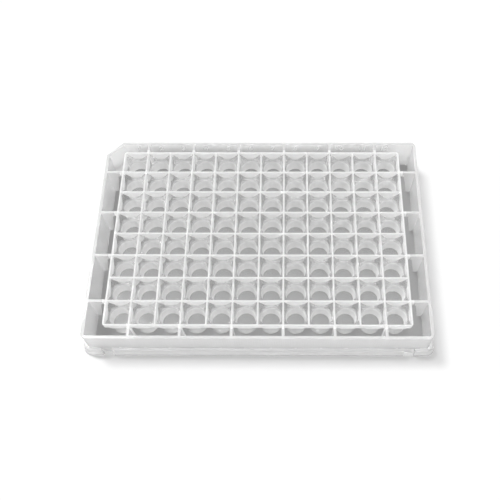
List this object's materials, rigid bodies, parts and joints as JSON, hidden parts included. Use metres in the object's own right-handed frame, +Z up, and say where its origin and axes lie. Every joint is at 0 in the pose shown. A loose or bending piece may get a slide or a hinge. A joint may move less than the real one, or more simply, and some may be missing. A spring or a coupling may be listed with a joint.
{
  "type": "well plate",
  "caption": "Clear moulded plate of small round wells with square mouths, in an open frame with a skirt and one cut corner.",
  "frame": {"origin": "centre of the plane that the plate stands on", "axes": "+X along the long side from column 1 to column 12, +Y across towards row A, +Z up out of the wells"},
  "size_m": [0.1278, 0.0854, 0.0143],
  "materials": {
    "clear_plastic": "clear, smooth and glossy"
  },
  "bodies": {
    "root": {"plate": "clear_plastic"}
  },
  "joints": []
}
